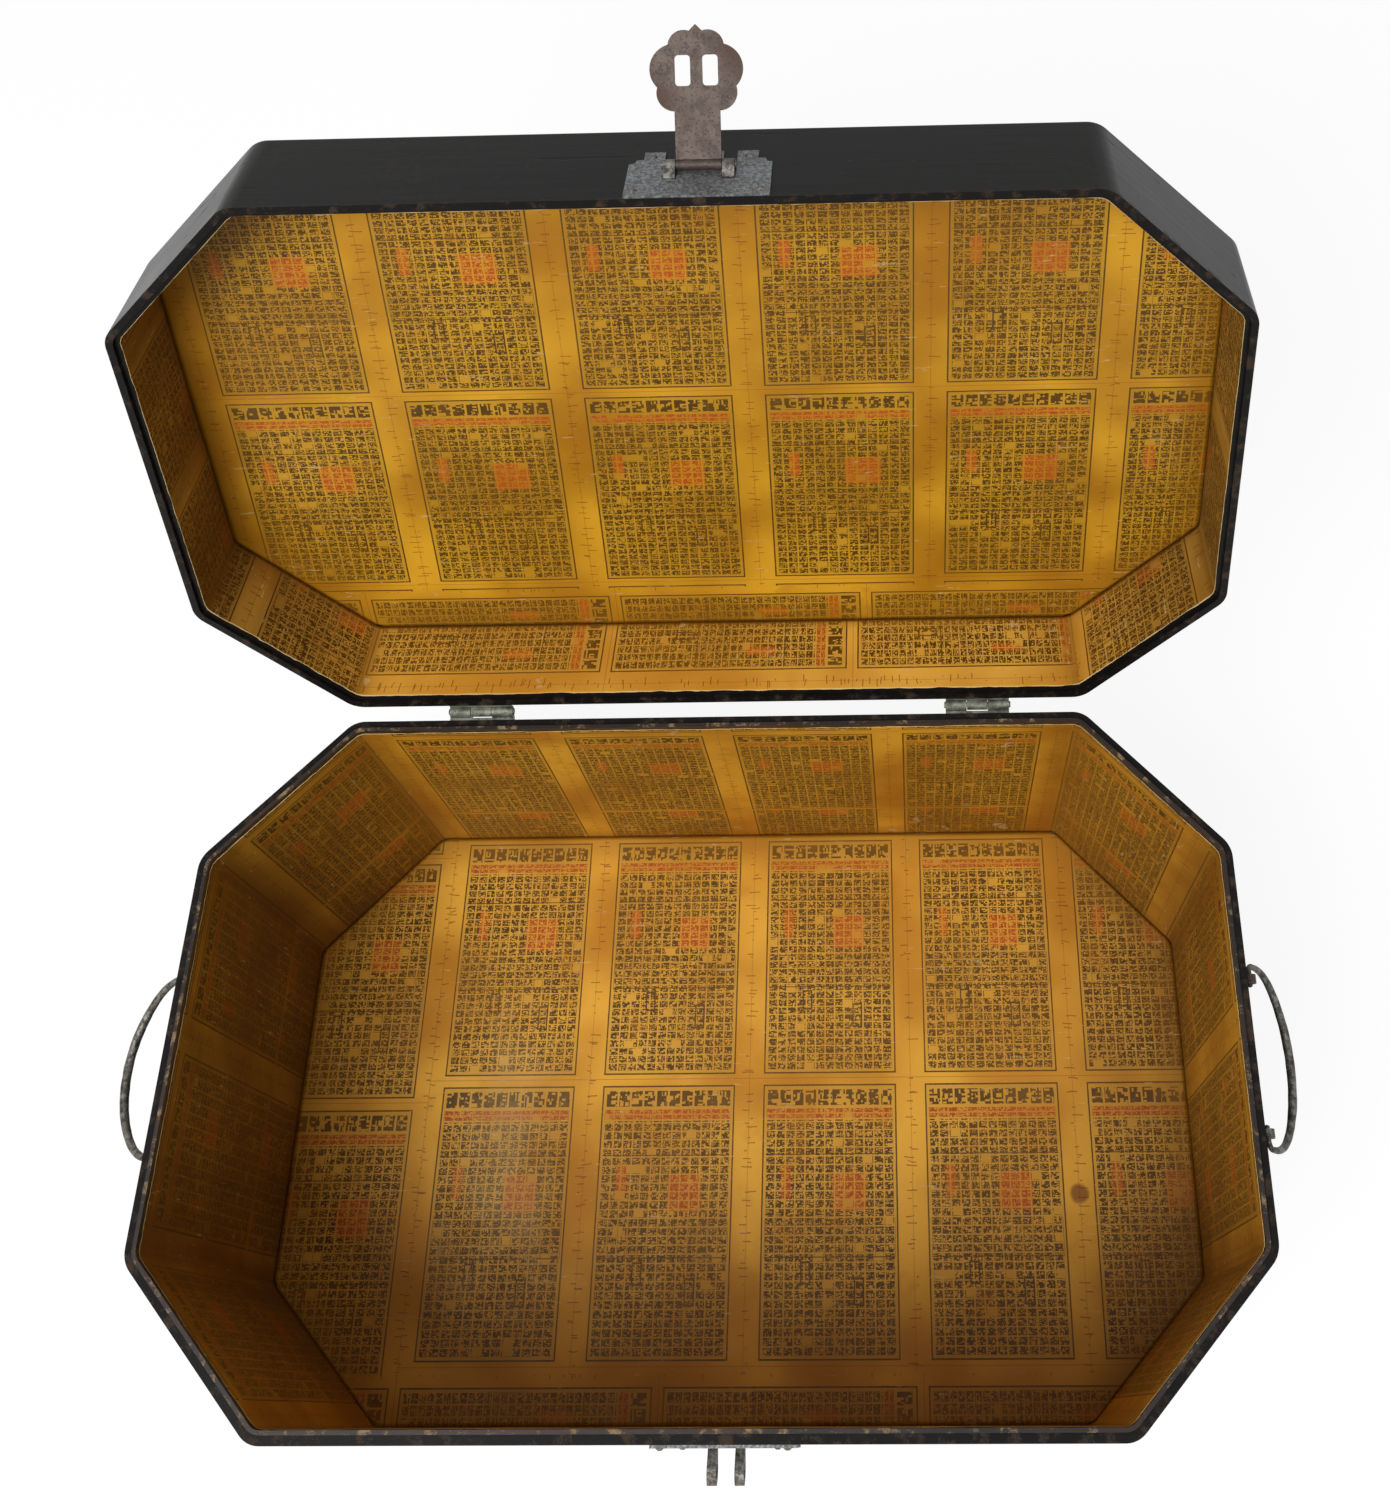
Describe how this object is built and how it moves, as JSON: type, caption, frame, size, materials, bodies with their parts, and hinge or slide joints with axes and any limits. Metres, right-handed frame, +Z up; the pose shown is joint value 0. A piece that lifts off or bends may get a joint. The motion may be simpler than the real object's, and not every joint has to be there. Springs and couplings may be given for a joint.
{
  "type": "travel trunk",
  "caption": "Low eight-sided trunk with a shallow hinged lid, a paper lining, bail handles on its ends and a hasp with slots for a padlock bar.",
  "frame": {"origin": "middle of the flat underside of the base", "axes": "+Z up, +X along the length to the right as seen from the front, +Y to the back, where the hinges are; the lid is stored open"},
  "size_m": [0.7348, 0.6467, 0.6675],
  "materials": {
    "lacquered_board": "black lacquer, satin, worn at the edges",
    "bare_board": "plain sawn board, aged",
    "lip_lacquer": "dark maroon and black lacquer, worn",
    "printed_paper": "varnished ochre paper with framed panels of dark marks",
    "forged_iron": "hand-forged, grey-brown, lightly rusted",
    "hinge_iron": "dull grey-green sheet iron",
    "brown_iron": "reddish-brown, evenly rusted and waxed",
    "grey_plate": "silver-grey sheet with dark speckles"
  },
  "bodies": {
    "base": {"base_right_board": "lacquered_board", "base_back_right_board": "lacquered_board", "base_back_board": "lacquered_board", "base_back_left_board": "lacquered_board", "base_left_board": "lacquered_board", "base_front_left_board": "lacquered_board", "base_front_board": "lacquered_board", "base_front_right_board": "lacquered_board", "base_floor_board": "bare_board", "base_lip": "lip_lacquer", "base_floor_paper": "printed_paper", "base_wall_paper": "printed_paper", "left_hinge_base_leaf": "hinge_iron", "left_hinge_pin": "hinge_iron", "left_handle_posts": "forged_iron", "right_hinge_base_leaf": "hinge_iron", "right_hinge_pin": "hinge_iron", "right_handle_posts": "forged_iron", "base_hinge_nails": "forged_iron", "base_lock_plate": "grey_plate", "base_lock_plate_nails": "forged_iron", "lock_eyes": "forged_iron"},
    "lid": {"lid_right_board": "lacquered_board", "lid_back_right_board": "lacquered_board", "lid_back_board": "lacquered_board", "lid_back_left_board": "lacquered_board", "lid_left_board": "lacquered_board", "lid_front_left_board": "lacquered_board", "lid_front_board": "lacquered_board", "lid_front_right_board": "lacquered_board", "lid_top_board": "lacquered_board", "lid_top_paper": "printed_paper", "lid_wall_paper": "printed_paper", "left_hinge_lid_leaf": "hinge_iron", "right_hinge_lid_leaf": "hinge_iron", "lid_hinge_nails": "forged_iron", "lid_lock_plate": "grey_plate", "lid_lock_plate_nails": "forged_iron", "hasp_lugs": "forged_iron", "hasp_pin": "forged_iron"},
    "hasp": {"hasp": "brown_iron"},
    "left_handle": {"left_handle": "forged_iron"},
    "right_handle": {"right_handle": "forged_iron"}
  },
  "joints": [
    {"name": "lid_hinge", "type": "hinge", "parent": "base", "child": "lid", "pos_m": [0, 0.1995, 0.2622], "axis": [-1, 0, 0], "range_deg": [-112.4, 0]},
    {"name": "hasp_swing", "type": "hinge", "parent": "lid", "child": "hasp", "pos_m": [0.0175, 0.37466, 0.62103], "axis": [-1, 0, 0], "range_deg": [-120, 0]},
    {"name": "left_handle_swing", "type": "hinge", "parent": "base", "child": "left_handle", "pos_m": [-0.331, 0, 0.205], "axis": [0, 1, 0], "range_deg": [-58, 122]},
    {"name": "right_handle_swing", "type": "hinge", "parent": "base", "child": "right_handle", "pos_m": [0.331, 0, 0.205], "axis": [0, -1, 0], "range_deg": [-33, 147]}
  ]
}
